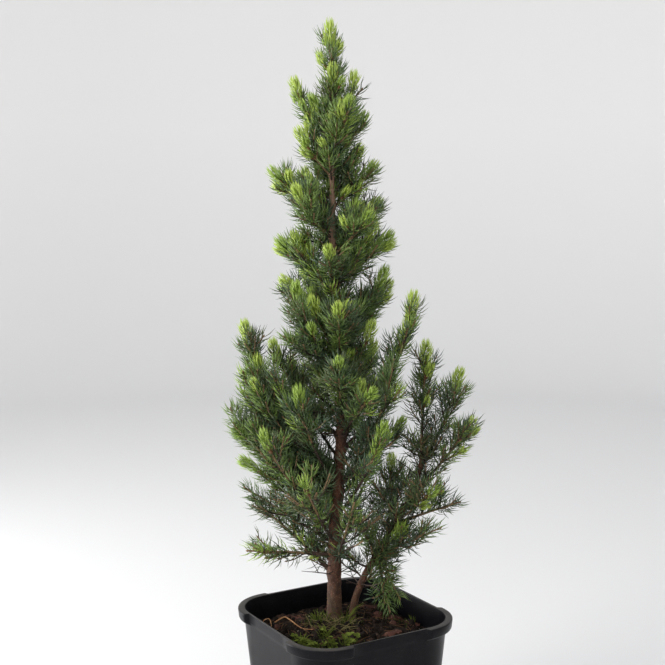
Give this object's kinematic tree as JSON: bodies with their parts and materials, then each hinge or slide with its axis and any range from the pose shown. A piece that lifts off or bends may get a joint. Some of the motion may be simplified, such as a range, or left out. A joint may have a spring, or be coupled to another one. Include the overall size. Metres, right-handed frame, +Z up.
{
  "type": "potted dwarf white spruce",
  "caption": "Young conical conifer with a slim trunk and a leaning second stem, ascending needled shoots with bright tips, in a square black nursery pot of soil.",
  "frame": {"origin": "centre of the pot's flat underside, on the surface that it stands on", "axes": "+Z up the trunk, -Y towards the front of the plant, +X to the plant's right seen from the front"},
  "size_m": [0.1858, 0.1548, 0.5485],
  "materials": {
    "pot_plastic": "charcoal moulded plastic, semi-matt, dusty",
    "potting_mix": "moist dark peat with bark crumbs",
    "bark": "red-brown flaky bark, mossy at the foot",
    "twig_bark": "brown ridged twig bark",
    "needles": "blue-green needles, lime at the tips"
  },
  "bodies": {
    "root": {"pot": "pot_plastic", "potting_mix": "potting_mix", "trunk": "bark", "second_stem": "bark", "left_second_bough": "twig_bark", "left_tall_bough": "twig_bark", "left_wide_bough": "twig_bark", "low_left_bough": "twig_bark", "right_long_bough": "twig_bark", "right_low_bough": "twig_bark", "right_tall_bough": "twig_bark", "back_crown_foliage": "needles", "back_high_foliage": "needles", "back_low_foliage": "needles", "back_low_left_foliage": "needles", "back_low_right_foliage": "needles", "back_mid_left_foliage": "needles", "back_mid_right_foliage": "needles", "back_upper_foliage": "needles", "droop_foliage": "needles", "far_right_foliage": "needles", "front_high_foliage": "needles", "front_left_foliage": "needles", "front_low_foliage": "needles", "front_low_left_foliage": "needles", "front_lowest_foliage": "needles", "front_mid_foliage": "needles", "front_right_foliage": "needles", "front_star_foliage": "needles", "front_top_foliage": "needles", "front_upper_foliage": "needles", "leader_foliage": "needles", "left_crown_foliage": "needles", "left_front_high_foliage": "needles", "left_high_foliage": "needles", "left_inner_foliage": "needles", "left_second_foliage": "needles", "left_spire_foliage": "needles", "left_tall_foliage": "needles", "left_third_foliage": "needles", "left_top_foliage": "needles", "left_upper_foliage": "needles", "left_upright_foliage": "needles", "left_wide_foliage": "needles", "low_left_foliage": "needles", "right_back_foliage": "needles", "right_back_high_foliage": "needles", "right_crown_foliage": "needles", "right_front_foliage": "needles", "right_front_high_foliage": "needles", "right_high_foliage": "needles", "right_long_foliage": "needles", "right_low_foliage": "needles", "right_low_front_foliage": "needles", "right_lowest_foliage": "needles", "right_tall_foliage": "needles", "right_top_foliage": "needles", "right_upper_foliage": "needles", "second_back_foliage": "needles", "second_top_foliage": "needles"}
  },
  "joints": []
}
